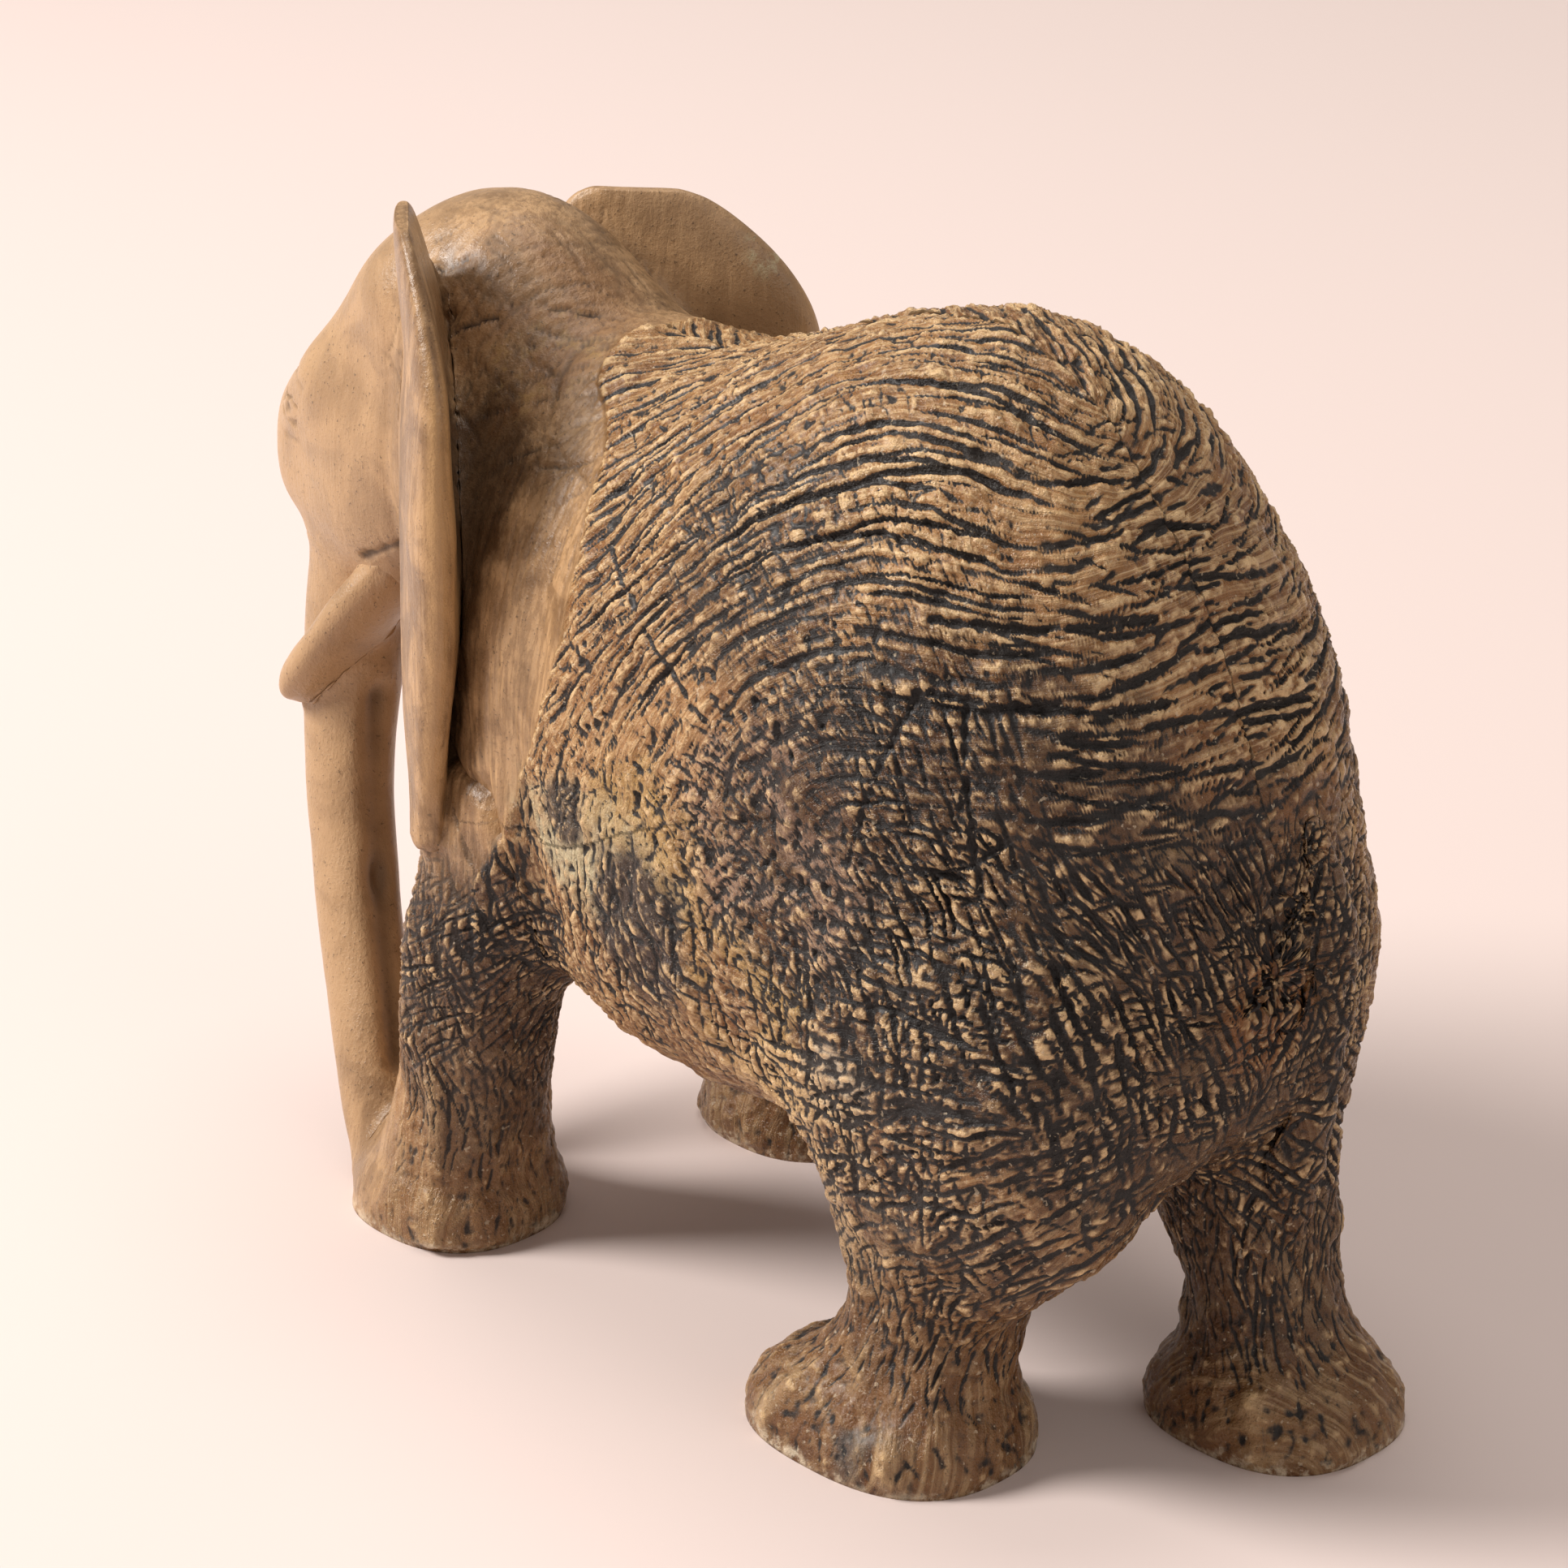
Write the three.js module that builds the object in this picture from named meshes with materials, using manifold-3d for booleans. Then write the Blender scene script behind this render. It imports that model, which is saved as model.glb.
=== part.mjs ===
// A carved elephant in one block of stone, standing on four flared feet.
// The face looks along -Y, +Z is up and the elephant's left side is +X.
import * as THREE from 'three';
import { mergeVertices } from 'three/addons/utils/BufferGeometryUtils.js';
import Module from 'manifold-3d';

const wasm = await Module();
wasm.setup();

// Driving sizes, in millimetres
const bodyLength = 146; // brow to rump
const bodyWidth = 62; // across the widest part of the barrel
const bodyDepth = 83; // back to belly
const standingHeight = 113; // floor to the ear tips
const neckWidth = 49.6;
const neckDepth = 61;
const headWidth = 27;
const headDepth = 47; // crown to jaw
const earReach = 28; // root to rim, where the ear is broadest
const earThickness = 5.2;
const trunkWidth = 9;
const tuskThickness = 7.6;
const rearFootWidth = 24;
const rearFootLength = 31;
const frontFootWidth = 21.2;
const frontFootLength = 22.8;
const ankleWidth = 15.6;
const thighWidth = 28;
const thighLength = 40;
const shoulderWidth = 19.2;
const tailWidth = 8;
const seam = 0.3; // gap left all round between neighbouring forms

// Places along and up are shares of these, measured from the middle of the body at floor level.
const halfLength = bodyLength / 2;
const halfWidth = bodyWidth / 2;

const stoneColour = 0x7d6549;
const polishedColour = 0xa3835f;
const darkColour = 0x54463a;

// One station: where the oval's centre is, its two half sizes, and how far it is turned in its plane.
// Across and the half sizes are millimetres; along and up are shares of the overall sizes.
function station(across, along, up, halfA, halfB, turn = 0) {
  const centre = new THREE.Vector3(across, along * halfLength, up * standingHeight);
  return { centre, size: new THREE.Vector3(halfA, halfB, turn) };
}

function curveThrough(points) {
  return new THREE.CatmullRomCurve3(points, false, 'catmullrom', 0.5);
}

// A corner power of 1 gives an ellipse; smaller gives a squarer oval.
function ovalCoordinate(part, power) {
  return Math.sign(part) * Math.abs(part) ** power;
}

// Carries an oval through the stations and closes both ends. Ovals stand upright across Y, or lie flat.
function carve(stations, shape) {
  const { upright = false, sides = 24, rows = 20, blunt = 0.3, grow = 0 } = shape;
  const { corner = 0.91, lowCorner = corner } = shape;
  const centres = curveThrough(stations.map((each) => each.centre));
  const sizes = curveThrough(stations.map((each) => each.size));
  const run = new THREE.Vector3().subVectors(centres.getPoint(1), centres.getPoint(0));
  const heading = Math.sign(upright ? run.y : run.z);
  const geometry = new THREE.SphereGeometry(1, sides, rows);
  const place = geometry.getAttribute('position');
  for (let i = 0; i < place.count; i += 1) {
    const pole = THREE.MathUtils.clamp(place.getY(i), -1, 1);
    const ring = Math.hypot(place.getX(i), place.getZ(i));
    const centre = centres.getPoint((1 + pole) / 2);
    const size = sizes.getPoint((1 + pole) / 2);
    const onAxis = ring < 1e-6;
    const cosine = onAxis ? 0 : place.getX(i) / ring;
    const sine = onAxis ? 0 : place.getZ(i) / ring;
    const power = sine < 0 ? lowCorner : corner;
    const reach = onAxis ? 0 : ring ** blunt;
    const a = ovalCoordinate(cosine, power) * reach * (size.x + grow);
    const b = ovalCoordinate(sine, power) * reach * (size.y + grow);
    const u = a * Math.cos(size.z) - b * Math.sin(size.z);
    const v = a * Math.sin(size.z) + b * Math.cos(size.z);
    const push = pole * grow * heading;
    if (upright) {
      place.setXYZ(i, centre.x + u, centre.y + push, centre.z + v);
    } else {
      place.setXYZ(i, centre.x + u, centre.y + v, centre.z + push);
    }
  }
  return solidOf(geometry);
}

function manifoldOf(vertProperties, triVerts) {
  return new wasm.Manifold(new wasm.Mesh({ numProp: 3, vertProperties, triVerts }));
}

// Welds a geometry into a closed solid whose faces look outwards.
function solidOf(geometry) {
  geometry.deleteAttribute('normal');
  geometry.deleteAttribute('uv');
  const welded = mergeVertices(geometry, 1e-5);
  const corners = welded.index.array;
  const kept = [];
  for (let i = 0; i < corners.length; i += 3) {
    const [a, b, c] = [corners[i], corners[i + 1], corners[i + 2]];
    if (a !== b && b !== c && c !== a) {
      kept.push([a, b, c]);
    }
  }
  const places = Float32Array.from(welded.getAttribute('position').array);
  const solid = manifoldOf(places, Uint32Array.from(kept.flat()));
  if (solid.volume() > 0) {
    return solid;
  }
  const turned = kept.map(([a, b, c]) => [a, c, b]);
  return manifoldOf(places, Uint32Array.from(turned.flat()));
}

// across, along, up, then half across and half up in body widths and depths
function torso(grow = 0) {
  const rows = [
    [-0.03, -0.41, 0.62, 0.355, 0.395],
    [-0.03, -0.27, 0.585, 0.435, 0.456],
    [-0.03, -0.08, 0.572, 0.475, 0.479],
    [-0.03, 0.14, 0.601, 0.492, 0.493],
    [-0.03, 0.34, 0.624, 0.492, 0.5],
    [-0.03, 0.52, 0.611, 0.476, 0.494],
    [-0.03, 0.685, 0.575, 0.435, 0.452],
    [-0.03, 0.82, 0.531, 0.379, 0.398],
    [-0.03, 0.918, 0.496, 0.29, 0.313],
  ];
  const stations = rows.map(([x, y, z, a, b]) => {
    return station(x * halfWidth, y, z, a * bodyWidth, b * bodyDepth);
  });
  const shape = { upright: true, sides: 36, rows: 30, blunt: 0.5, corner: 0.93, lowCorner: 0.66, grow };
  return carve(stations, shape);
}

// along, up, then half across and half up in neck widths and depths
function neck(grow = 0) {
  const rows = [
    [-0.63, 0.765, 0.222, 0.328],
    [-0.52, 0.715, 0.3025, 0.417],
    [-0.384, 0.659, 0.423, 0.448],
    [-0.247, 0.617, 0.494, 0.485],
    [-0.11, 0.606, 0.5, 0.5],
  ];
  const stations = rows.map(([y, z, a, b]) => station(0, y, z, a * neckWidth, b * neckDepth));
  const shape = { upright: true, sides: 32, rows: 18, blunt: 0.35, corner: 1.05, lowCorner: 0.87, grow };
  return carve(stations, shape);
}

// along, up, then half across and half up in head widths and depths
function head(grow = 0) {
  const rows = [
    [-0.52, 0.805, 0.444, 0.404],
    [-0.63, 0.772, 0.5, 0.487],
    [-0.74, 0.724, 0.481, 0.438],
    [-0.85, 0.687, 0.431, 0.344],
    [-0.945, 0.673, 0.39, 0.24],
    [-1, 0.673, 0.333, 0.183],
  ];
  const stations = rows.map(([y, z, a, b]) => station(0, y, z, a * headWidth, b * headDepth));
  return carve(stations, { upright: true, sides: 28, rows: 18, corner: 0.83, grow });
}

// The trunk hangs from the head and its tip rests on the front left foot, so it runs between the two.
const trunkRootAcross = 0.13 * headWidth;
const trunkTipAcross = 0.661 * halfWidth;

// share of the way across from root to tip, along, up, then half across and half along in trunk widths
function trunk(grow = 0) {
  const rows = [
    [0, -0.836, 0.62, 0.9, 0.9],
    [0.118, -0.842, 0.513, 0.6, 0.69],
    [0.324, -0.808, 0.372, 0.5, 0.58],
    [0.559, -0.726, 0.23, 0.48, 0.56],
    [0.824, -0.63, 0.106, 0.48, 0.56],
    [1, -0.562, 0, 0.51, 0.56],
  ];
  const stations = rows.map(([share, y, z, a, b]) => {
    const across = THREE.MathUtils.lerp(trunkRootAcross, trunkTipAcross, share);
    return station(across, y, z, a * trunkWidth, b * trunkWidth);
  });
  return carve(stations, { sides: 20, blunt: 0.4, grow });
}

// Both ears stand out backwards from the head, at this angle to the way across.
const earAngle = 0.874;

// root across in head widths, root along, up, then half reach and half thickness in reaches and thicknesses
function ear(rows, side, grow) {
  const turn = side > 0 ? earAngle : Math.PI - earAngle;
  const stations = rows.map(([rootAcross, rootAlong, z, a, b]) => {
    const half = a * earReach;
    const across = rootAcross * headWidth + half * Math.cos(earAngle);
    const along = rootAlong + (half * Math.sin(earAngle)) / halfLength;
    return station(side * across, along, z, half, b * earThickness, turn);
  });
  return carve(stations, { sides: 28, blunt: 0.35, corner: 0.8, grow });
}

function leftEar(grow = 0) {
  const rows = [
    [0.959, -0.374, 0.425, 0.07, 0.19],
    [0.696, -0.479, 0.531, 0.3, 0.4],
    [0.5, -0.551, 0.664, 0.464, 0.5],
    [0.437, -0.571, 0.779, 0.49, 0.5],
    [0.422, -0.579, 0.885, 0.48, 0.4],
    [0.441, -0.607, 0.993, 0.37, 0.27],
  ];
  return ear(rows, 1, grow);
}

function rightEar(grow = 0) {
  const rows = [
    [0.878, -0.39, 0.434, 0.07, 0.19],
    [0.685, -0.471, 0.531, 0.25, 0.4],
    [0.485, -0.559, 0.664, 0.41, 0.5],
    [0.404, -0.6, 0.779, 0.48, 0.5],
    [0.337, -0.618, 0.862, 0.48, 0.4],
    [0.322, -0.632, 0.945, 0.364, 0.27],
  ];
  return ear(rows, -1, grow);
}

// across in head widths, along, up, half thickness in tusk thicknesses
function tusk(side, grow = 0) {
  const rows = [
    [0.23, -0.68, 0.6, 0.5],
    [0.344, -0.75, 0.54, 0.5],
    [0.426, -0.82, 0.485, 0.48],
    [0.478, -0.9, 0.437, 0.4],
  ];
  const stations = rows.map(([x, y, z, a]) => {
    return station(side * x * headWidth, y, z, a * tuskThickness, a * tuskThickness);
  });
  return carve(stations, { upright: true, sides: 16, rows: 12, blunt: 0.6, corner: 1, grow });
}

// across in half body widths, along, up, half across, half along
function leg(rows, grow) {
  const stations = rows.map(([x, y, z, a, b]) => station(x * halfWidth, y, z, a, b));
  return carve(stations, { rows: 24, blunt: 0.15, grow });
}

function rearLeftLeg(grow = 0) {
  const rows = [
    [0.548, 0.45, -0.09, 0.5 * rearFootWidth, 0.5 * rearFootLength],
    [0.548, 0.456, 0.02, 0.47 * rearFootWidth, 0.47 * rearFootLength],
    [0.53, 0.47, 0.05, 0.38 * rearFootWidth, 0.37 * rearFootLength],
    [0.487, 0.509, 0.133, 0.5 * ankleWidth, 0.57 * ankleWidth],
    [0.467, 0.545, 0.195, 0.32 * thighWidth, 0.33 * thighLength],
    [0.467, 0.572, 0.257, 0.39 * thighWidth, 0.43 * thighLength],
    [0.467, 0.572, 0.327, 0.457 * thighWidth, 0.475 * thighLength],
    [0.452, 0.575, 0.425, 0.5 * thighWidth, 0.5 * thighLength],
    [0.435, 0.575, 0.566, 0.48 * thighWidth, 0.5 * thighLength],
  ];
  return leg(rows, grow);
}

function rearRightLeg(grow = 0) {
  const rows = [
    [-0.426, 0.8, -0.09, 0.5 * rearFootWidth, 0.43 * rearFootLength],
    [-0.426, 0.795, 0.02, 0.47 * rearFootWidth, 0.4 * rearFootLength],
    [-0.436, 0.778, 0.05, 0.37 * rearFootWidth, 0.31 * rearFootLength],
    [-0.452, 0.743, 0.124, 0.48 * ankleWidth, 0.47 * ankleWidth],
    [-0.468, 0.699, 0.212, 0.3 * thighWidth, 0.235 * thighLength],
    [-0.484, 0.651, 0.319, 0.41 * thighWidth, 0.325 * thighLength],
    [-0.484, 0.616, 0.425, 0.48 * thighWidth, 0.413 * thighLength],
    [-0.452, 0.589, 0.566, 0.48 * thighWidth, 0.45 * thighLength],
  ];
  return leg(rows, grow);
}

function frontLeftLeg(grow = 0) {
  const rows = [
    [0.565, -0.452, -0.09, 0.5 * frontFootWidth, 0.5 * frontFootLength],
    [0.565, -0.45, 0.02, 0.475 * frontFootWidth, 0.473 * frontFootLength],
    [0.565, -0.443, 0.05, 0.41 * frontFootWidth, 0.4 * frontFootLength],
    [0.565, -0.411, 0.142, 0.5 * ankleWidth, 0.5 * ankleWidth],
    [0.581, -0.387, 0.248, 0.438 * shoulderWidth, 0.427 * shoulderWidth],
    [0.554, -0.329, 0.354, 0.5 * shoulderWidth, 0.5 * shoulderWidth],
    [0.484, -0.293, 0.478, 0.47 * shoulderWidth, 0.47 * shoulderWidth],
  ];
  return leg(rows, grow);
}

function frontRightLeg(grow = 0) {
  const rows = [
    [-0.774, -0.295, -0.09, 0.5 * frontFootWidth, 0.49 * frontFootLength],
    [-0.768, -0.293, 0.02, 0.475 * frontFootWidth, 0.465 * frontFootLength],
    [-0.752, -0.29, 0.05, 0.41 * frontFootWidth, 0.4 * frontFootLength],
    [-0.71, -0.284, 0.133, 0.49 * ankleWidth, 0.49 * ankleWidth],
    [-0.645, -0.281, 0.248, 0.45 * shoulderWidth, 0.45 * shoulderWidth],
    [-0.597, -0.281, 0.354, 0.52 * shoulderWidth, 0.57 * shoulderWidth],
    [-0.497, -0.266, 0.478, 0.47 * shoulderWidth, 0.52 * shoulderWidth],
  ];
  return leg(rows, grow);
}

// The tail lies on the back of the rump and follows it down. The first number is across in half body
// widths; the others are along, up, then half across and half along in tail widths.
function tail(grow = 0) {
  const rows = [
    [-0.39, 0.82, 0.159, 0.2, 0.23],
    [-0.39, 0.828, 0.248, 0.36, 0.36],
    [-0.38, 0.853, 0.372, 0.5, 0.41],
    [-0.32, 0.89, 0.496, 0.52, 0.39],
    [-0.226, 0.892, 0.619, 0.42, 0.3],
  ];
  const stations = rows.map(([x, y, z, a, b]) => {
    return station(x * halfWidth, y, z, a * tailWidth, b * tailWidth);
  });
  return carve(stations, { sides: 16, rows: 16, blunt: 0.6, corner: 1, grow });
}

function floorBlock() {
  const side = 3 * bodyLength;
  const box = new THREE.BoxGeometry(side, side, standingHeight);
  box.translate(0, 0, -standingHeight / 2);
  return solidOf(box);
}

// Takes the space that others hold away from a form, and keeps the largest piece of what is left.
function clearOf(solid, taken) {
  const rest = taken.reduce((left, grown) => left.subtract(grown), solid);
  return rest.decompose().reduce((best, each) => (each.volume() > best.volume() ? each : best));
}

function meshOf(name, solid, colour) {
  const raw = solid.getMesh();
  const geometry = new THREE.BufferGeometry();
  geometry.setAttribute('position', new THREE.BufferAttribute(raw.vertProperties, 3));
  geometry.setIndex(new THREE.BufferAttribute(raw.triVerts, 1));
  geometry.computeVertexNormals();
  const material = new THREE.MeshStandardMaterial({ color: colour, roughness: 0.45, metalness: 0 });
  const mesh = new THREE.Mesh(geometry, material);
  mesh.name = name;
  return mesh;
}

const forms = [
  ['torso', torso, stoneColour],
  ['neck', neck, polishedColour],
  ['head', head, polishedColour],
  ['front_left_leg', frontLeftLeg, stoneColour],
  ['front_right_leg', frontRightLeg, stoneColour],
  ['rear_left_leg', rearLeftLeg, stoneColour],
  ['rear_right_leg', rearRightLeg, stoneColour],
  ['trunk', trunk, polishedColour],
  ['left_tusk', (grow) => tusk(1, grow), polishedColour],
  ['right_tusk', (grow) => tusk(-1, grow), polishedColour],
  ['left_ear', leftEar, polishedColour],
  ['right_ear', rightEar, polishedColour],
  ['tail', tail, darkColour],
];

const part = new THREE.Group();
part.name = 'elephant';

// Each form gives way to the floor and to every form before it, grown by the seam.
const taken = [floorBlock()];
forms.forEach(([name, form, colour]) => {
  part.add(meshOf(name, clearOf(form(0), taken), colour));
  taken.push(form(seam));
});

// The origin is the middle of the bounding box, at floor level.
const middle = new THREE.Box3().setFromObject(part).getCenter(new THREE.Vector3());
part.children.forEach((mesh) => mesh.geometry.translate(-middle.x, -middle.y, 0));

export default part;
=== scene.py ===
import math

import bpy
import numpy as np
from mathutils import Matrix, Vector


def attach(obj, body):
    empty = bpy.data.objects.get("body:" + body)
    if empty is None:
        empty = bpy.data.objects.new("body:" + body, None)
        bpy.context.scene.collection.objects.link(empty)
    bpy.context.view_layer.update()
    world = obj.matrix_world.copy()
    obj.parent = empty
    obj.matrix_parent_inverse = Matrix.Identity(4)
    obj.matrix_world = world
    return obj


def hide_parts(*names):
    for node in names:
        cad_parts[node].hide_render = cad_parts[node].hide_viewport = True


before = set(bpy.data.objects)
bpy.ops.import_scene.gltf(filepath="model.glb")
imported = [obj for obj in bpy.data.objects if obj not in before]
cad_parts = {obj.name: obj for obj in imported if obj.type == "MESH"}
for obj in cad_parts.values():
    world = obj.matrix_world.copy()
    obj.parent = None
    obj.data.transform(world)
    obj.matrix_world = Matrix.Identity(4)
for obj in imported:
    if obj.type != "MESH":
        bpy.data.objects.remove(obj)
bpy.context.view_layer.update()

mm = 0.001
look = {
    "grain": 0.24,  # mm between neighbouring points of a finished carved skin
    "plainGrain": 0.44,  # the same for a polished one
    "mostTriangles": 168000,  # in one skin; a bigger one takes a coarser grain
    "quickTimes": 1.0,
    "coarse": 4,  # the plain shape is worked out on every fourth point
    "sink": 1.4,  # how far one form dives under its neighbour, mm
    "near": 6,  # points this near a neighbour, mm, are settled on the blended surface
    "settling": 4,  # Newton steps of each such point
    "overlap": 1.1,  # the last mm of a length of torso, which dive under the next
}


# Catmull-Rom curve through the rows, t running from 0 to 1.
def smoothRows(rows, t):
    rows = np.asarray(rows, float)
    last = len(rows) - 1
    u = np.clip(t, 0, 1) * last
    i = np.minimum(u.astype(int), last - 1)
    f = (u - i)[:, None]
    padded = np.vstack([2 * rows[0] - rows[1], rows, 2 * rows[-1] - rows[-2]])
    a, b, c, d = padded[i], padded[i + 1], padded[i + 2], padded[i + 3]
    return 0.5 * (2 * b + (c - a) * f + (2 * a - 5 * b + 4 * c - d) * f**2 + (3 * b - a - 3 * c + d) * f**3)


# 0 at low, 1 at high and eased between; low may be the greater.
def smoothStep(low, high, x):
    f = np.clip((x - low) / (high - low), 0, 1)
    return f * f * (3 - 2 * f)


# Round ends shrink to a point as (2 sqrt(t (1 - t))) to the power of bluntness; flat ends don't.
def ringSize(form, t):
    if form["ends"] == "flat":
        return np.ones_like(t)
    return (2 * np.sqrt(np.clip(t * (1 - t), 0, 1))) ** form["blunt"]


# Fills in a form's defaults and a fine table of its spine, for the distance field.
def prepare(form):
    form.setdefault("ends", "round")
    form.setdefault("blunt", 0.35)
    form.setdefault("corner", 2.2)
    form.setdefault("lowCorner", form["corner"])
    form.setdefault("bow", 0.0)
    form["stations"] = np.array([list(row) + [0.0] * (6 - len(row)) for row in form["stations"]], float)
    t = np.linspace(0, 1, 301)
    table = smoothRows(form["stations"], t)
    ring = ringSize(form, t)
    form["table"] = {"t": t, "rows": table, "ring": ring}
    return form


# Point of the loft: spine(t) plus a turned superellipse with half sizes a and b; arrays of one shape.
def onForm(form, t, angle):
    rows = smoothRows(form["stations"], t.ravel()).reshape(t.shape + (6,))
    ring = ringSize(form, t)
    c, s = np.cos(angle), np.sin(angle)
    power = np.where(s < 0, 2 / form["lowCorner"], 2 / form["corner"])
    u = np.sign(c) * np.abs(c) ** power * rows[..., 3] * ring
    v = np.sign(s) * np.abs(s) ** power * rows[..., 4] * ring
    v = v + form["bow"] * (u / rows[..., 3]) ** 2
    turn = rows[..., 5]
    across = u * np.cos(turn) - v * np.sin(turn)
    other = u * np.sin(turn) + v * np.cos(turn)
    point = rows[..., :3].copy()
    point[..., 0] += across
    point[..., 2 if form["axis"] == "y" else 1] += other
    return point


# About how far p lies outside the form: radius of p in its slice less the slice's radius that way.
def distance(form, p):
    table = form["table"]
    axis = 1 if form["axis"] == "y" else 2
    along = table["rows"][:, axis]
    order = np.argsort(along)
    q = p[:, axis]
    at = np.interp(q, along[order], table["t"][order])
    past = np.maximum(along.min() - q, 0) + np.maximum(q - along.max(), 0)
    cols = [np.interp(at, table["t"], table["rows"][:, k]) for k in range(6)]
    ring = np.interp(at, table["t"], table["ring"])
    du = p[:, 0] - cols[0]
    dv = p[:, 2] - cols[2] if axis == 1 else p[:, 1] - cols[1]
    c, s = np.cos(cols[5]), np.sin(cols[5])
    u = du * c + dv * s
    v = dv * c - du * s
    a = np.maximum(cols[3] * ring, 1e-3)
    b = np.maximum(cols[4] * ring, 1e-3)
    v = v - form["bow"] * np.clip(u / cols[3], -1.5, 1.5) ** 2
    corner = np.where(v < 0, form["lowCorner"], form["corner"])
    r = np.maximum((np.abs(u / a) ** corner + np.abs(v / b) ** corner) ** (1 / corner), 1e-4)
    rho = np.hypot(u, v)
    return np.where(past > 0, np.hypot(np.maximum(rho * (1 - 1 / r), 0), past), rho * (1 - 1 / r))


# Smaller of a and b, rounded by a fillet of about k where they meet.
def softMin(a, b, k):
    h = np.maximum(k - np.abs(a - b), 0) / k
    return np.minimum(a, b) - h * h * k / 4


# Distance to all forms run together, each with its own fillet.
def blended(p, skip=None):
    total = None
    for name, form in forms.items():
        if name == skip:
            continue
        d = distance(form, p)
        total = d if total is None else softMin(total, d, form["fillet"])
    return total


# Gradient of f at p, where it is value, by one small step along each axis.
def slope(f, p, value, step=0.05):
    out = np.empty_like(p)
    for k in range(3):
        q = p.copy()
        q[:, k] += step
        out[:, k] = (f(q) - value) / step
    return out


# Moves a form's points onto the blended surface where they show, and under the neighbour where not.
def settle(name, points):
    flat = points.reshape(-1, 3)
    own = distance(forms[name], flat)
    rest = blended(flat, skip=name)
    move = flat.copy()
    near = np.flatnonzero(rest > -look["near"])
    q = flat[near].copy()
    for _ in range(look["settling"]):
        value = blended(q)
        g = slope(blended, q, value)
        size = np.maximum((g * g).sum(1), 0.25)
        step = (-value / size)[:, None] * g
        length = np.linalg.norm(step, axis=1)
        step *= np.minimum(1, 1.5 / np.maximum(length, 1e-9))[:, None]
        q += step
    g = slope(blended, q, blended(q))
    g /= np.maximum(np.linalg.norm(g, axis=1), 1e-6)[:, None]
    ahead = distance(forms[name], q) - blended(q, skip=name)  # above 0 in the neighbour's ground
    dive = look["sink"] * np.clip(ahead / 1.6, 0, 1) ** 2
    q -= dive[:, None] * g
    keep = smoothStep(-5.0, -2.5, rest[near])[:, None]
    move[near] = flat[near] * (1 - keep) + q * keep
    return move.reshape(points.shape)


# Adds soft round swellings, each a Gaussian hill along the surface's own normal.
def addSwells(points, swells):
    normal = gridNormals(points)
    for x, y, z, radius, height in swells:
        d2 = ((points - np.array([x, y, z])) ** 2).sum(-1)
        points = points + normal * (height * np.exp(-d2 / (2 * radius**2)))[..., None]
    return points


# Outward normals of a closed grid: cross product of its two tangents.
def gridNormals(points):
    along = np.gradient(points, axis=0)
    wrapped = np.concatenate([points[:, -1:], points, points[:, :1]], axis=1)
    around = (wrapped[:, 2:] - wrapped[:, :-2]) / 2
    n = np.cross(around, along)
    n /= np.maximum(np.linalg.norm(n, axis=-1), 1e-9)[..., None]
    middle = points.reshape(-1, 3).mean(0)
    if ((points - middle) * n).sum() < 0:
        n = -n
    for end, inner in ((0, 1), (-1, -2)):
        if np.ptp(points[end], axis=0).max() < 1e-6:
            pole = n[inner].mean(0)
            n[end] = pole / max(np.linalg.norm(pole), 1e-9)
    return n


# The same grid with more points, by Catmull-Rom in both directions; the columns run round.
def finer(grid, times):
    rows, cols = grid.shape[:2]
    t = np.linspace(0, 1, (rows - 1) * times + 1)
    grid = smoothRows(grid.reshape(rows, -1), t).reshape(len(t), cols, -1)
    wrapped = np.concatenate([grid[:, -1:], grid, grid[:, :2]], axis=1).transpose(1, 0, 2)
    u = np.arange(cols * times) / times
    i = u.astype(int)
    f = (u - i)[:, None, None]
    a, b, c, d = wrapped[i], wrapped[i + 1], wrapped[i + 2], wrapped[i + 3]
    out = 0.5 * (2 * b + (c - a) * f + (2 * a - 5 * b + 4 * c - d) * f**2 + (3 * b - a - 3 * c + d) * f**3)
    return out.transpose(1, 0, 2)


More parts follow.
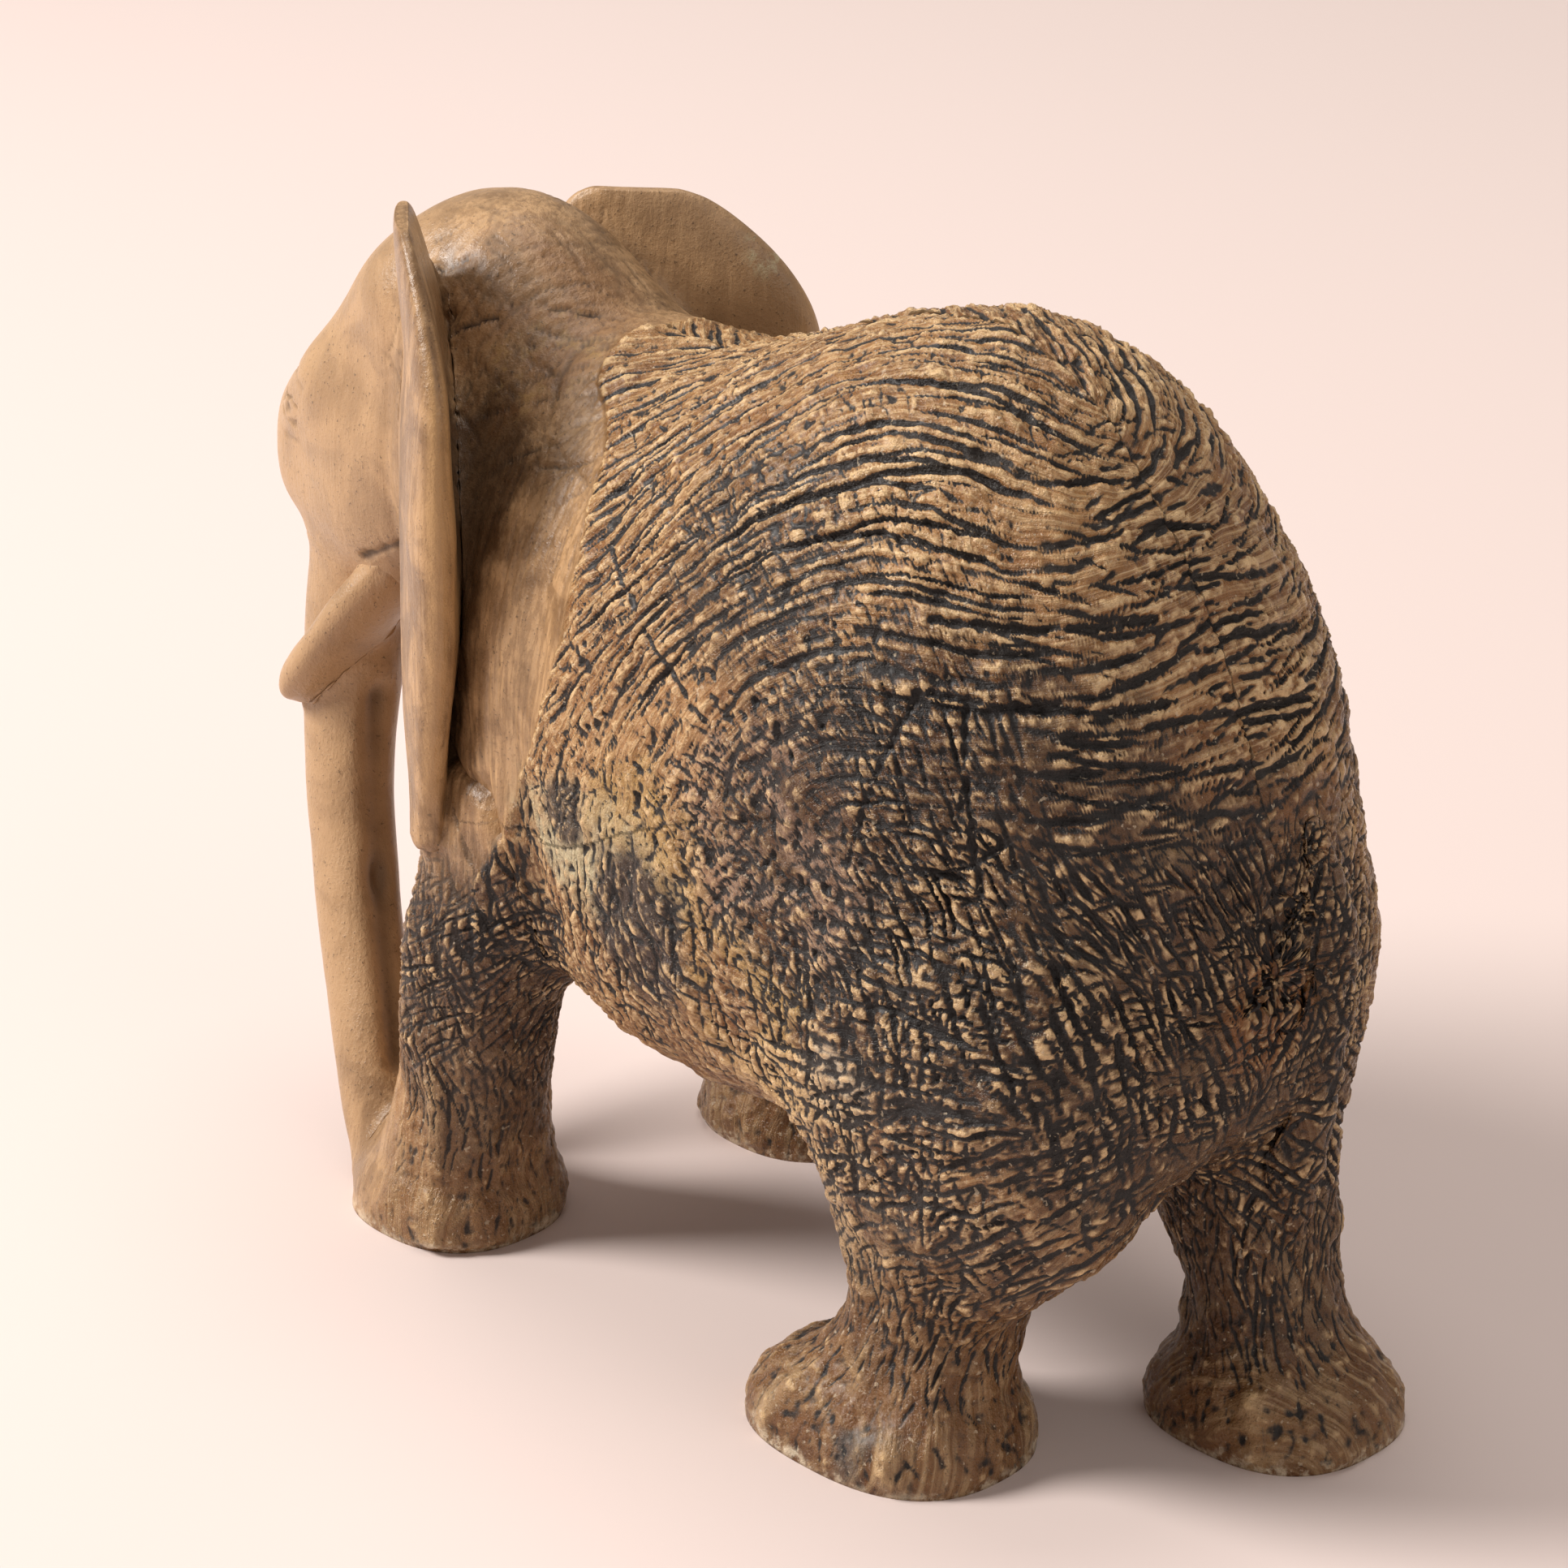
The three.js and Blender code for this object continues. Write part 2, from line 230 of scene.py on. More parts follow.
# Coarse grid of a form: rows spaced evenly along it, columns evenly round it.
def plainGrid(form, span=(0.0, 1.0)):
    step = look["plainGrain" if form.get("polished") else "grain"] * look["coarse"] * look["quickTimes"]
    t = np.linspace(span[0], span[1], 600)
    # round ends open out very fast, so where they show, the first and last thousandths are looked at closely
    if form.get("fineEnds"):
        close = np.geomspace(1e-13, 1e-3, 160)
        t = np.r_[0, close, t[1:-1], 1 - close[::-1], 1]
    angles = np.linspace(0, 2 * np.pi, 720, endpoint=False)
    ringLength = 0
    inset = 0.1 * (span[1] - span[0])
    for at in np.linspace(span[0] + inset, span[1] - inset, 7):
        ring = onForm(form, np.full_like(angles, at), angles)
        ringLength = max(ringLength, np.linalg.norm(np.roll(ring, -1, 0) - ring, axis=1).sum())
    cols = max(12, int(round(ringLength / step)))
    lines = [onForm(form, t, np.full_like(t, a)) for a in np.linspace(0, 2 * np.pi, 8, endpoint=False)]
    walked = [np.r_[0, np.cumsum(np.linalg.norm(np.diff(line, axis=0), axis=1))] for line in lines]
    lengths = np.mean(walked, axis=0)
    rows = max(8, int(round(lengths[-1] / step)))
    thin = min(1, math.sqrt(look["mostTriangles"] / (2 * rows * cols * look["coarse"] ** 2)))
    rows, cols = int(rows * thin), int(cols * thin)
    at = np.interp(np.linspace(0, lengths[-1], rows + 1), lengths, t)
    # spread the columns evenly by length round the middle slice
    ring = onForm(form, np.full_like(angles, np.mean(span)), angles)
    girth = np.r_[0, np.cumsum(np.linalg.norm(np.roll(ring, -1, 0) - ring, axis=1))]
    turn = np.interp(np.linspace(0, girth[-1], cols, endpoint=False), girth, np.r_[angles, 2 * np.pi])
    tt, aa = np.meshgrid(at, turn, indexing="ij")
    return onForm(form, tt, aa), lengths[-1]


# One closed mesh from a grid whose first and last rows are poles, with its marks as point values.
def skin(name, grid, marks):
    rows, cols = grid.shape[:2]
    inner = grid[1:-1].reshape(-1, 3)
    points = np.vstack([grid[0, 0], inner, grid[-1, 0]]) * mm
    r, c = np.meshgrid(np.arange(rows - 3), np.arange(cols), indexing="ij")
    a = 1 + r * cols + c
    b = 1 + r * cols + (c + 1) % cols
    quads = np.stack([a, b, b + cols, a + cols], -1).reshape(-1, 4)
    top = np.arange(cols)
    lastRow = 1 + (rows - 3) * cols
    fans = np.vstack([
        np.stack([np.zeros(cols, int), 1 + (top + 1) % cols, 1 + top], -1),
        np.stack([np.full(cols, len(points) - 1), lastRow + top, lastRow + (top + 1) % cols], -1),
    ])
    corners = np.concatenate([quads.ravel(), fans.ravel()])
    sizes = np.concatenate([np.full(len(quads), 4), np.full(len(fans), 3)])
    tri = points[fans]
    q = points[quads]
    quadCentre = q.mean(1)
    quadNormal = np.cross(q[:, 2] - q[:, 0], q[:, 3] - q[:, 1])
    triNormal = np.cross(tri[:, 1] - tri[:, 0], tri[:, 2] - tri[:, 0])
    volume = (quadCentre * quadNormal).sum() + (tri.mean(1) * triNormal).sum()
    starts = np.concatenate([[0], np.cumsum(sizes)[:-1]])
    if volume < 0:
        corners = np.concatenate([quads[:, ::-1].ravel(), fans[:, ::-1].ravel()])
    mesh = bpy.data.meshes.new(name)
    mesh.vertices.add(len(points))
    mesh.vertices.foreach_set("co", points.astype(np.float32).ravel())
    mesh.loops.add(len(corners))
    mesh.loops.foreach_set("vertex_index", corners.astype(np.int32))
    mesh.polygons.add(len(sizes))
    mesh.polygons.foreach_set("loop_start", starts.astype(np.int32))
    mesh.polygons.foreach_set("loop_total", sizes.astype(np.int32))
    mesh.polygons.foreach_set("use_smooth", np.ones(len(sizes), bool))
    for mark, values in marks.items():
        flat = np.concatenate([[values[0, 0]], values[1:-1].ravel(), [values[-1, 0]]])
        layer = mesh.attributes.new(mark, "FLOAT", "POINT")
        layer.data.foreach_set("value", flat.astype(np.float32))
    mesh.update()
    mesh.validate()
    piece = bpy.data.objects.new(name, mesh)
    bpy.context.scene.collection.objects.link(piece)
    return piece


# Each form: axis its slices are stacked along, and stations x, y, z of the spine with two half sizes
# (across and up for slices stacked along y, across and along for slices stacked along z) and a turn, in mm.
earTurn = 0.874  # how far the near ear's slices are turned from across, in radians
farTurn = math.pi - earTurn
forms = {
    "torso": {"axis": "y", "fillet": 1, "blunt": 0.5, "corner": 2.15, "lowCorner": 3.0, "stations": [
        (0.5, -28.5, 70.1, 22.0, 32.0), (0.5, -18.3, 66.1, 27.0, 37.9), (0.5, -4.4, 64.6, 29.4, 39.8),
        (0.5, 11.6, 67.9, 30.5, 40.9), (0.5, 26.2, 70.5, 30.5, 41.5), (0.5, 39.4, 69.0, 29.5, 41.0),
        (0.5, 51.4, 65.0, 26.5, 36.6), (0.5, 61.0, 60.0, 22.6, 31.8), (0.5, 67.4, 56.0, 17.2, 25.6)]},
    "neck": {"polished": True, "axis": "y", "fillet": 9, "corner": 1.9, "lowCorner": 3.0, "stations": [
        (1.4, -44.6, 86.0, 11.0, 20.4), (1.4, -36.5, 79.8, 15.4, 26.2), (1.4, -26.6, 74.5, 21.0, 27.3),
        (1.4, -16.6, 69.7, 24.5, 29.6), (1.4, -6.6, 68.5, 24.8, 30.5)]},
    "head": {"polished": True, "fineEnds": True, "axis": "y", "fillet": 11, "blunt": 0.3, "corner": 2.4,
             "stations": [
        (1.4, -22.0, 82.0, 8.0, 15.0), (1.4, -30.0, 86.2, 11.0, 18.4), (1.4, -38.0, 87.6, 12.6, 20.2),
        (1.4, -45.6, 86.0, 13.5, 21.6), (1.4, -52.6, 81.8, 13.0, 20.6),
        (1.4, -60.6, 77.6, 11.6, 16.2), (1.4, -67.6, 76.0, 10.5, 11.3), (1.4, -71.6, 76.0, 9.0, 8.6)]},
    "rear_left_leg": {"axis": "z", "fillet": 7, "ends": "flat", "corner": 2.5, "stations": [
        (18.4, 34.4, 0.0, 11.9, 15.4), (18.4, 34.4, 2.8, 11.6, 15.0), (18.3, 35.0, 5.4, 10.5, 13.5),
        (17.7, 36.4, 8.0, 8.8, 10.6), (17.0, 37.8, 11.5, 7.9, 9.2), (16.4, 39.2, 16.5, 7.8, 9.3),
        (15.9, 41.4, 22.5, 9.0, 13.2), (15.9, 43.2, 29.0, 10.9, 17.2), (15.9, 43.2, 37.0, 12.8, 19.0),
        (15.4, 43.4, 48.0, 14.0, 20.0), (14.7, 43.0, 60.0, 12.0, 17.4), (12.0, 42.0, 73.0, 5.0, 8.0)]},
    "rear_right_leg": {"axis": "z", "fillet": 7, "ends": "flat", "corner": 2.5, "stations": [
        (-11.8, 59.3, 0.0, 11.6, 12.9), (-11.9, 59.2, 2.8, 11.3, 12.5), (-12.0, 58.6, 5.4, 10.0, 10.8),
        (-12.3, 57.6, 8.0, 8.4, 8.6), (-12.5, 56.6, 11.0, 7.6, 7.4), (-12.6, 55.2, 16.0, 7.4, 7.3),
        (-13.1, 52.4, 24.0, 8.4, 9.4), (-13.6, 48.9, 36.0, 11.5, 13.0), (-13.6, 46.4, 48.0, 13.5, 16.5),
        (-12.6, 44.6, 60.0, 11.6, 15.4), (-10.0, 42.0, 73.0, 5.0, 8.0)]},
    "front_left_leg": {"axis": "z", "fillet": 8, "ends": "flat", "corner": 2.4, "stations": [
        (18.9, -31.6, 0.0, 10.5, 11.3), (18.9, -31.5, 2.8, 10.3, 11.0), (18.9, -31.1, 5.4, 9.5, 10.0),
        (18.9, -30.4, 8.2, 8.5, 8.7), (18.9, -28.4, 16.0, 7.6, 7.6), (19.2, -26.0, 28.0, 8.2, 7.8),
        (18.6, -22.2, 40.0, 9.6, 9.2), (16.4, -20.0, 54.0, 9.0, 9.0), (14.0, -18.0, 64.0, 4.0, 4.0)]},
    "front_right_leg": {"axis": "z", "fillet": 8, "ends": "flat", "corner": 2.4, "stations": [
        (-22.6, -20.1, 0.0, 10.5, 11.1), (-22.5, -20.0, 2.8, 10.3, 10.9), (-22.2, -19.9, 5.4, 9.5, 10.0),
        (-21.5, -19.7, 8.2, 8.5, 8.7),
        (-20.6, -19.3, 15.0, 7.6, 7.6), (-18.6, -19.1, 28.0, 8.6, 8.6), (-17.1, -19.1, 40.0, 10.0, 11.0),
        (-14.0, -18.0, 54.0, 9.0, 10.0), (-12.0, -17.0, 64.0, 4.0, 4.0)]},
    "trunk": {"polished": True, "fineEnds": True, "axis": "z", "fillet": 3, "blunt": 0.4, "stations": [
        (4.9, -59.6, 70.1, 8.1, 8.1), (6.9, -59.8, 58.0, 5.8, 6.6), (10.8, -57.6, 42.0, 4.5, 5.1),
        (14.8, -51.7, 26.0, 4.3, 4.9), (18.9, -44.6, 12.0, 4.5, 5.1), (21.9, -39.8, 0.0, 4.6, 5.0)]},
    "left_ear": {"polished": True, "axis": "z", "fillet": 4, "bow": 1.2, "corner": 3, "stations": [
        (28.0, -25.0, 48.0, 2.4, 1.2, earTurn), (24.6, -28.4, 60.0, 9.8, 2.1, earTurn),
        (23.2, -28.8, 75.0, 13.0, 2.7, earTurn), (22.4, -29.6, 88.0, 14.0, 2.6, earTurn),
        (21.4, -30.6, 100.0, 13.4, 2.1, earTurn), (20.0, -34.9, 112.0, 10.4, 1.4, earTurn)]},
    "right_ear": {"polished": True, "axis": "z", "fillet": 4, "bow": 1.2, "corner": 3, "stations": [
        (-23.6, -25.6, 49.0, 2.0, 1.0, farTurn), (-21.6, -27.6, 60.0, 7.0, 2.1, farTurn),
        (-19.1, -30.6, 75.0, 11.5, 2.7, farTurn), (-18.1, -32.1, 88.0, 13.4, 2.6, farTurn),
        (-16.4, -33.3, 97.4, 13.5, 2.1, farTurn), (-13.8, -36.9, 106.8, 10.2, 1.4, farTurn)]},
    "left_tusk": {"polished": True, "fineEnds": True, "axis": "y", "fillet": 1.6, "blunt": 0.6, "corner": 2,
                  "stations": [
        (7.6, -48.2, 67.8, 4.3, 4.3), (10.7, -53.3, 61.2, 4.3, 4.3), (12.9, -58.2, 55.2, 4.2, 4.2),
        (14.1, -63.2, 50.4, 4.0, 4.0)]},
    "right_tusk": {"polished": True, "fineEnds": True, "axis": "y", "fillet": 1.6, "blunt": 0.6, "corner": 2,
                  "stations": [
        (-4.8, -48.2, 67.8, 4.3, 4.3), (-7.9, -53.3, 61.2, 4.3, 4.3), (-10.1, -58.2, 55.2, 4.2, 4.2),
        (-11.3, -63.2, 50.4, 4.0, 4.0)]},
    "tail": {"axis": "z", "fillet": 1.5, "blunt": 0.6, "corner": 2, "stations": [
        (-10.7, 60.6, 18.0, 1.6, 1.8), (-10.7, 61.2, 28.0, 2.9, 2.9), (-10.4, 63.0, 42.0, 4.0, 3.2),
        (-8.5, 65.4, 56.0, 4.2, 3.0), (-5.6, 65.6, 70.0, 3.4, 2.4)]},
}
for form in forms.values():
    prepare(form)

# Body, eye and fold shapes added to the plain forms: centre x, y, z, radius and height, all in mm.
swells = [
    (26, 46, 78, 11, 1.4), (-26, 46, 78, 11, 1.4),  # hip bones
    (24, 50, 56, 10, 1.2), (-24, 52, 56, 10, 1.2),  # thighs
    (24, -8, 62, 9, 1.0), (-24, -8, 62, 9, 1.0),  # shoulders
    (28, 14, 48, 12, 1.2), (-28, 14, 48, 12, 1.2),  # belly
    (8, -52, 98, 6, 1.2), (-6, -52, 98, 6, 1.2),  # the two domes of the forehead
    (12, -58, 86, 5, 1.0), (-10, -58, 86, 5, 1.0),  # brows
    (12, -52, 72, 7, 1.2), (-10, -52, 72, 7, 1.2),  # cheeks
    (13, -50, 90, 5, -1.6), (-11, -50, 90, 5, -1.6),  # hollow temples
    (11, -63.8, 81.8, 1.7, 0.5), (-8, -63.8, 81.8, 1.7, 0.5),  # eyeballs
    (12, -61, 87, 3.4, 0.6), (-9, -61, 87, 3.4, 0.6), (2, -70, 86, 4, -0.7),  # brow ridges and bridge
    (1, 5, 108, 16, -0.8), (1, 68, 84, 9, -1.0),
]


# Repeatable chance between 0 and 1 from whole numbers, by large primes and folding the high bits down.
def chance(a, b, kind):
    h = (a * 374761393 + b * 668265263 + kind * 974634777) & 0x7FFFFFFF
    h = ((h ^ (h >> 13)) * 1274126177) & 0x7FFFFFFF
    return ((h ^ (h >> 16)) & 0xFFFF) / 0xFFFF


# Smooth noise from -1 to 1: chances at the corners of cells this many mm wide, eased between.
def lumps(p, size, kind):
    q = p / size + 200
    i = np.floor(q).astype(np.int64)
    f = q - i
    f = f * f * (3 - 2 * f)
    total = np.zeros(len(p))
    for corner in range(8):
        dx, dy, dz = corner & 1, corner >> 1 & 1, corner >> 2
        weight = (f[:, 0] if dx else 1 - f[:, 0]) * (f[:, 1] if dy else 1 - f[:, 1])
        weight = weight * (f[:, 2] if dz else 1 - f[:, 2])
        total += weight * chance(i[:, 0] + dx + 613 * (i[:, 2] + dz), i[:, 1] + dy, kind)
    return 2 * total - 1


# Depth of a field of chisel cuts, one to each cell of a jittered lattice: s runs along them, w across.
# For rings round a point, w is the distance from it and s the angle, which each row turns into a length.
def cuts(s, w, side, kind, tool, rings=False):
    length, pitch = tool["length"], tool["pitch"]
    deepest = np.zeros_like(s)
    row0 = np.floor(w / pitch).astype(np.int64)
    angle = s
    for dr in (-1, 0, 1):
        nearRow = row0 + dr
        row = nearRow + 1000 * side
        if rings:
            s = angle * (nearRow + 0.5) * pitch
        shift = chance(row, 7, kind) * length
        col0 = np.floor((s + shift) / length).astype(np.int64)
        for dc in (-1, 0, 1):
            col = col0 + dc
            jitter = [chance(row, col, kind + k) - 0.5 for k in range(1, 7)]
            ds = s - ((col + 0.5 + 0.5 * jitter[0]) * length - shift)
            dw = w - (nearRow + 0.5 + 0.8 * jitter[1]) * pitch
            lean = 2 * tool["lean"] * jitter[2]
            half = 0.5 * length * (1.0 + 0.8 * jitter[3])
            x = ds + dw * lean
            y = dw - ds * lean + jitter[5] * 0.22 * x * x / half
            taper = np.clip(1 - (x / half) ** 2, 0, 1)
            wide = 0.5 * tool["width"] * (1.0 + 1.1 * jitter[4]) * np.sqrt(taper)
            share = np.clip(1.1 - np.abs(y) / np.maximum(wide, 1e-3), 0, 1)
            cut = tool["depth"] * (1.0 + 0.8 * jitter[5]) * np.sqrt(taper) * share
            deepest = np.maximum(deepest, cut)
    return deepest


# The pair s, w turned by so many degrees.
def turned(s, w, degrees):
    c, d = math.cos(math.radians(degrees)), math.sin(math.radians(degrees))
    return s * c + w * d, w * c - s * d


# Squared distance from the points to a straight line between two places.
def toSegment(p, a, b):
    a, b = np.array(a, float), np.array(b, float)
    along = b - a
    t = np.clip((p - a) @ along / max(along @ along, 1e-9), 0, 1)
    return ((p - a - t[:, None] * along) ** 2).sum(1)


# Chisels: cut length, pitch between rows, width, depth in mm, and how far they lean about.
tools = {
    "long": {"length": 12, "pitch": 1.40, "width": 0.86, "depth": 0.72, "lean": 0.20},
    "sweep": {"length": 8, "pitch": 1.10, "width": 0.66, "depth": 0.52, "lean": 0.26},
    "tile": {"length": 7, "pitch": 1.40, "width": 0.74, "depth": 0.66, "lean": 0.20},
    "tick": {"length": 4.5, "pitch": 1.10, "width": 0.55, "depth": 0.40, "lean": 0.36},
    "scratch": {"length": 3.6, "pitch": 1.30, "width": 0.45, "depth": 0.26, "lean": 0.90},
    "gash": {"length": 15, "pitch": 6.0, "width": 0.80, "depth": 0.85, "lean": 0.16},
    "hairline": {"length": 16, "pitch": 0.95, "width": 0.46, "depth": 0.20, "lean": 0.05},
    "crack": {"length": 11, "pitch": 2.1, "width": 0.46, "depth": 0.42, "lean": 0.50},
}

# Lines drawn on the sides: which side (1 left, -1 right, 0 both), y and z of each end, half width, depth.
drawn = [
    (0, -60.4, 82.2, -62.8, 83.3, 0.30, 0.34), (0, -62.8, 83.3, -65.2, 83.0, 0.34, 0.42),  # upper lid
    (0, -65.2, 83.0, -67.0, 81.4, 0.30, 0.34), (0, -67.0, 81.4, -64.6, 80.3, 0.26, 0.24),
    (0, -64.6, 80.3, -62.2, 80.6, 0.26, 0.24), (0, -62.2, 80.6, -60.4, 82.2, 0.26, 0.24),  # lower lid
    (0, -64.2, 81.8, -63.8, 81.9, 0.75, 0.30), (0, -60.0, 85.4, -63.6, 86.2, 0.50, 0.14),
    (0, -63.6, 86.2, -67.2, 84.6, 0.50, 0.14), (0, -61.6, 78.6, -65.4, 78.2, 0.40, 0.12),
    (0, -44.0, 72.0, -51.0, 68.6, 0.45, 0.40),  # lip
    (1, 44.0, 92.0, 60.0, 91.0, 0.42, 0.70), (1, 46.0, 86.0, 62.0, 84.0, 0.42, 0.70),  # long cuts
    (1, 1.0, 87.0, 21.0, 77.0, 0.36, 0.55), (1, 49.0, 86.0, 53.0, 68.0, 0.40, 0.65),
    (1, -21.0, 53.0, -16.0, 46.0, 0.30, 0.35), (1, 45.0, 86.0, 40.0, 68.0, 0.40, 0.60),
    (-1, 30.0, 92.0, 52.0, 84.0, 0.45, 0.70), (-1, 6.0, 82.0, 22.0, 70.0, 0.45, 0.65),
]

# Broad hollows, or ridges where the depth is below 0: start, end, radius and depth, in mm.
hollows = [
    ((9.5, -53.0, 50), (13.5, -48.0, 32), 2.0, 1.3),  # down the back of the trunk
    ((13.5, -48.0, 32), (18.5, -40.5, 14), 2.0, 1.3),
    ((30, -12, 66), (27, -9, 44), 3.5, 0.9), ((16, -14, 96), (25, -10, 72), 5.0, 0.9),  # behind the ear
    ((10, 58, 90), (10, 66, 66), 5.0, 0.5), ((3, 62, 40), (3, 56, 33), 3.0, 0.8),  # between the haunches
    ((24, 23, 50), (21, 26, 34), 3.5, 1.1), ((-24, 22, 50), (-21, 26, 34), 3.5, 1.1),  # flank folds
    ((26.0, 41.5, 24), (28.5, 44.0, 2), 1.6, -0.9),  # foot edges
    ((25.5, 33.0, 12), (29.5, 27.0, 2), 1.6, -0.7),
    ((-5.0, 60.0, 24), (-2.5, 65.0, 2), 1.5, -0.8), ((-18, 60, 20), (-21, 64, 2), 1.6, -0.7),
    ((26.0, -26.0, 20), (28.5, -25.0, 2), 1.6, -0.7), ((18, -39, 14), (18, -43, 2), 1.6, -0.5),
]


# Marks of the chisel for skin points p with outward normals n: how far in they go, and how polished it is.
def carve(p, n):
    x, y, z = p.T
    side = np.where(x > 0.5, 1, 0)
    torso = forms["torso"]["table"]
    middle = np.interp(y, torso["rows"][:, 1], torso["rows"][:, 2])
    down = 34 * np.arctan2(np.abs(x - 0.5), z - middle)  # mm round the body from the crest
    warp = 1.5 * lumps(p, 13, 3) + 0.3 * lumps(p, 3, 2)
    frayed = 0.16 * lumps(p, 1.1, 21) + 0.08 * lumps(p, 0.5, 22)
    firm = np.clip(0.62 + 0.9 * lumps(p, 5.5, 33), 0, 1)  # how hard the chisel was driven
    # the polished neck ends at a crisp line that leans back over the shoulder
    edgeAt = np.interp(z, [40, 62, 76, 85, 93, 98, 104], [-20, -9, -3.5, -4, -8, -16, -22])
    edgeAt = edgeAt + 1.2 * lumps(p, 5, 5)
    rough = smoothStep(-0.5, 0.7, y - edgeAt)
    frontLeg = smoothStep(54, 40, z + 4 * lumps(p, 6, 6)) * smoothStep(-37, -29, y + 2 * lumps(p, 5, 4))
    frontLeg *= smoothStep(8, 12, np.hypot(x - 20, y + 42) + 30 * (x < 0) + 0.2 * z)
    rough = np.maximum(rough, 0.9 * frontLeg)
    cut = np.zeros(len(p))
    along, across = np.zeros(len(p)), np.zeros(len(p))

    def work(mask, s, w, kind, tool, share=1.0, rings=False):
        at = np.flatnonzero(mask > 0.02)
        made = cuts(s[at], w[at] + frayed[at], side[at], kind, tools[tool], rings)
        cut[at] = np.maximum(cut[at], made * (mask * share)[at] * (0.45 + 0.7 * firm[at]))

    # flank: cuts run round the hip, level above it, upright in front of it and below
    hipAt, hipDown = 42, 50  # middle of the rings, mm along the body and mm down from the crest
    past = 0.75 * (y - hipAt)
    past = past - 0.62 * 5 * np.log1p(np.exp(np.clip(past / 5, -30, 30))) + 0.4 * warp  # flatter behind the hip
    rear = smoothStep(40, 58, y) * smoothStep(60, 74, z)
    above = (1 - rear) * (hipDown - down) + rear * 1.15 * (z - 72)
    above = above - 0.32 * (y - hipAt) * (1 - 0.6 * rear) + warp
    reach = np.hypot(past, above)
    angle = np.arctan2(above, past)
    turn = angle * reach
    behind = smoothStep(0.55, 0.80, n[:, 1])
    body = rough * smoothStep(-40, -30, y) * smoothStep(22, 34, z) * (1 - behind)
    flank = body * smoothStep(17, 27, reach + 2 * warp)
    upper = smoothStep(62, 82, z + 0.25 * (y - hipAt))
    work(flank * upper, angle, reach, 11, "long", rings=True)
    work(flank * (1 - 0.6 * upper), angle, reach, 23, "sweep", rings=True)
    # middle of the flank: short cuts slanting up and back, over plainer ground
    centre = body * smoothStep(29, 20, reach + 2 * warp) * smoothStep(46, 36, y)
    s, w = turned(y + warp, -down, 52)
    work(centre, s, w, 29, "sweep", 0.6)
    pits = np.clip(lumps(p, 1.1, 31) + 0.6 * lumps(p, 0.55, 32) - 0.35, 0, 0.7)
    cut = np.maximum(cut, pits * np.maximum(centre, 0.8 * body * (1 - firm)))
    s, w = turned(y, -down + warp, -24)
    work(centre, s, w, 31, "tick", 0.8)
    # lower flank and belly: upright cuts
    low = body * smoothStep(66, 52, z) * smoothStep(60, 48, y)
    s, w = turned(-down, y + 0.5 * warp, 4)
    work(low, s, w, 37, "sweep")
    # haunch: steep cuts crossed by level ones leave rows of tiles
    haunch = body * smoothStep(34, 44, y) * smoothStep(92, 84, z) * smoothStep(40, 50, z)
    s, w = turned(y + 0.6 * warp, -down, -58)
    work(haunch, s, w, 41, "tile")
    s, w = turned(y, -down + 0.6 * warp, 14)
    work(haunch, s, w, 53, "tile", 0.85)
    # rump: upright rows over the round end
    rump = rough * smoothStep(0.45, 0.75, n[:, 1]) * smoothStep(34, 44, z)
    high = smoothStep(66, 76, z)
    s, w = turned(z + warp, np.abs(x), 18)
    work(rump * (1 - 0.9 * high), s, w, 61, "tile")
    work(rump * high, x, z + 0.12 * y + 0.6 * warp, 65, "long")
    work(rump, x + warp, z, 67, "tick")
    work(rump * (1 - 0.7 * high), z + 0.5 * x, x - 0.5 * z, 69, "sweep", 0.8)
    # ticks and scratches everywhere that is rough
    s, w = turned(y + warp, -down, 40)
    work(body, s, w, 71, "tick", 0.75)
    s, w = turned(y, -down + warp, -30)
    work(body * upper, s, w, 73, "tick", 0.7)
    work(body, y + z, down - 0.7 * y, 83, "scratch")
    work(body * smoothStep(60, 76, z), angle, reach, 97, "gash", rings=True)
    # legs: cuts slant on the thigh and stand upright by the ankle
    for k, name in enumerate(("rear_left_leg", "rear_right_leg", "front_left_leg", "front_right_leg")):
        table = forms[name]["table"]["rows"]
        cx, cy = np.interp(z, table[:, 2], table[:, 0]), np.interp(z, table[:, 2], table[:, 1])
        near = rough * smoothStep(24, 17, np.hypot(x - cx, y - cy)) * smoothStep(52, 42, z)
        girth = 10 * np.arctan2(x - cx, y - cy)
        lean = -50 if name.endswith("left_leg") else 50
        thigh = near * smoothStep(16, 30, z)
        s, w = turned(z, girth + warp, lean)
        work(thigh, s, w, 101 + 20 * k, "sweep", 1.1)
        s, w = turned(z, girth + warp, -0.4 * lean)
        work(near * smoothStep(12, 20, z), s, w, 107 + 20 * k, "tick")
        s, w = turned(z, girth + warp, 6)
        ankle = near * (1 - 0.7 * smoothStep(16, 30, z))
        work(ankle, s, w, 113 + 20 * k, "tick", 0.25 + 0.4 * smoothStep(5, 12, z))
    # fine upright lines on the polished neck, leaning with the ear
    inside = smoothStep(3, 0, np.abs(x - 1.4) - np.interp(z, [60, 85, 95, 108], [26, 22, 15, 9]))
    neck = inside * (1 - rough) * smoothStep(-46, -38, y) * smoothStep(40, 50, z)
    s, w = turned(z, y + 0.4 * np.abs(x) + 0.5 * warp, -8)
    work(neck, s, w, 201, "hairline")
    crown = inside * (1 - rough) * smoothStep(-48, -40, y) * smoothStep(84, 92, z)
    work(crown, y - 0.8 * z + warp, x + 0.5 * y, 211, "crack")
    work(crown, x + 0.6 * y, z + 0.5 * y + warp, 213, "crack", 0.7)
